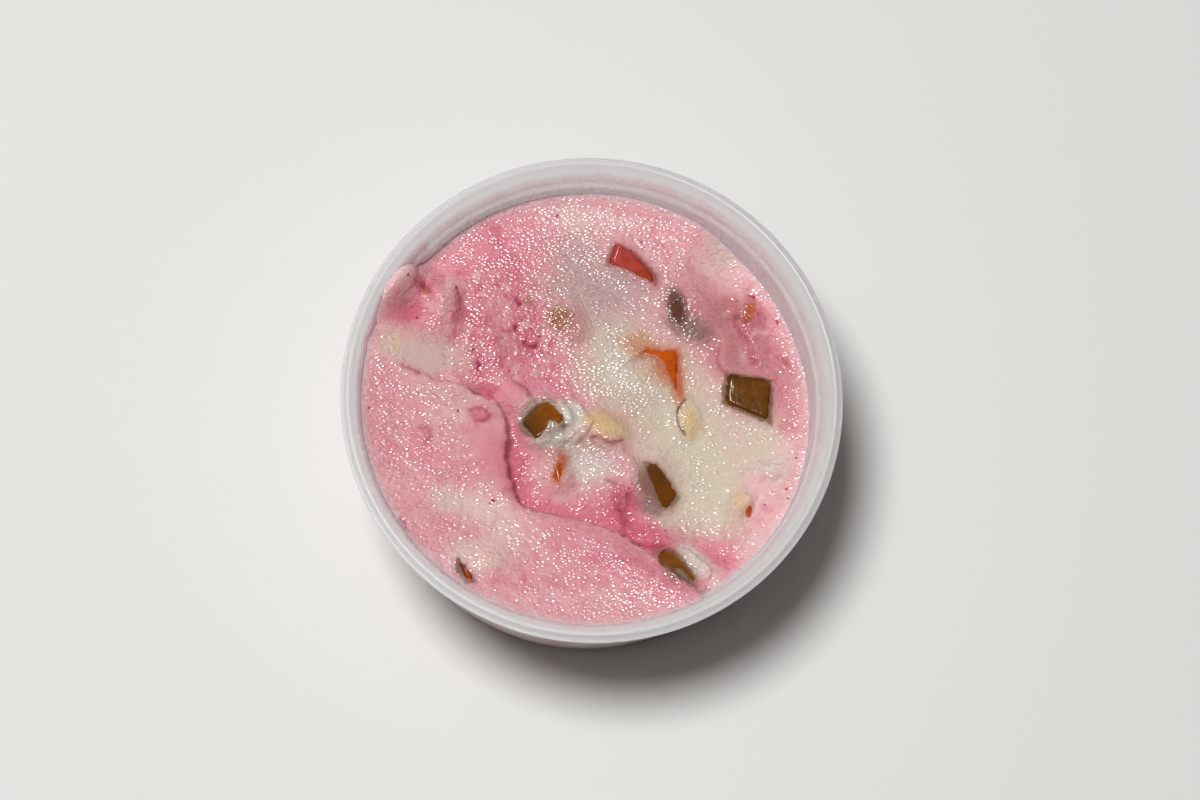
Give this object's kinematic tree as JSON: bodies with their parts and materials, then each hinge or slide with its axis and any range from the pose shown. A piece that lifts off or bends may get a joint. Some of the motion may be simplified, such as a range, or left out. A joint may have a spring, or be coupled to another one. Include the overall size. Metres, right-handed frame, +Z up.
{
  "type": "bowl of shrikhand",
  "caption": "Round translucent plastic tub filled with pink and white marbled shrikhand, with candied fruit dice and nuts set in its uneven top.",
  "frame": {"origin": "centre of the tub's base, on the surface it stands on", "axes": "+Z up, out of the tub's mouth; +X and +Y level, with the thick folded lobe of food at -X and -Y"},
  "size_m": [0.1, 0.1, 0.0444],
  "materials": {
    "tub_plastic": "thin translucent whitish plastic, smooth",
    "cream": "moist strained-yogurt cream, pink and white, marbled and granular",
    "green_fruit": "translucent olive-brown candied fruit, glossy",
    "brown_fruit": "dark candied fruit under a film of cream",
    "red_fruit": "translucent red candied fruit, glossy",
    "orange_fruit": "translucent orange candied fruit, glossy",
    "tan_fruit": "tan candied fruit under a film of cream",
    "nut": "pale nut flesh, moist",
    "nut_skin": "dark brown nut skin, moist"
  },
  "bodies": {
    "root": {"tub": "tub_plastic", "shrikhand": "cream", "green_die_right": "green_fruit", "green_die_centre": "green_fruit", "green_die_coated": "green_fruit", "green_die_lower": "green_fruit", "brown_die": "brown_fruit", "red_die": "red_fruit", "orange_die": "orange_fruit", "tan_die": "tan_fruit", "orange_die_buried": "orange_fruit", "orange_chip": "orange_fruit", "almond_flake": "nut", "pale_nut": "nut", "wall_nut": "nut", "small_nut": "nut", "beige_nut": "nut", "skin_sliver": "nut_skin", "left_nut": "nut"}
  },
  "joints": []
}
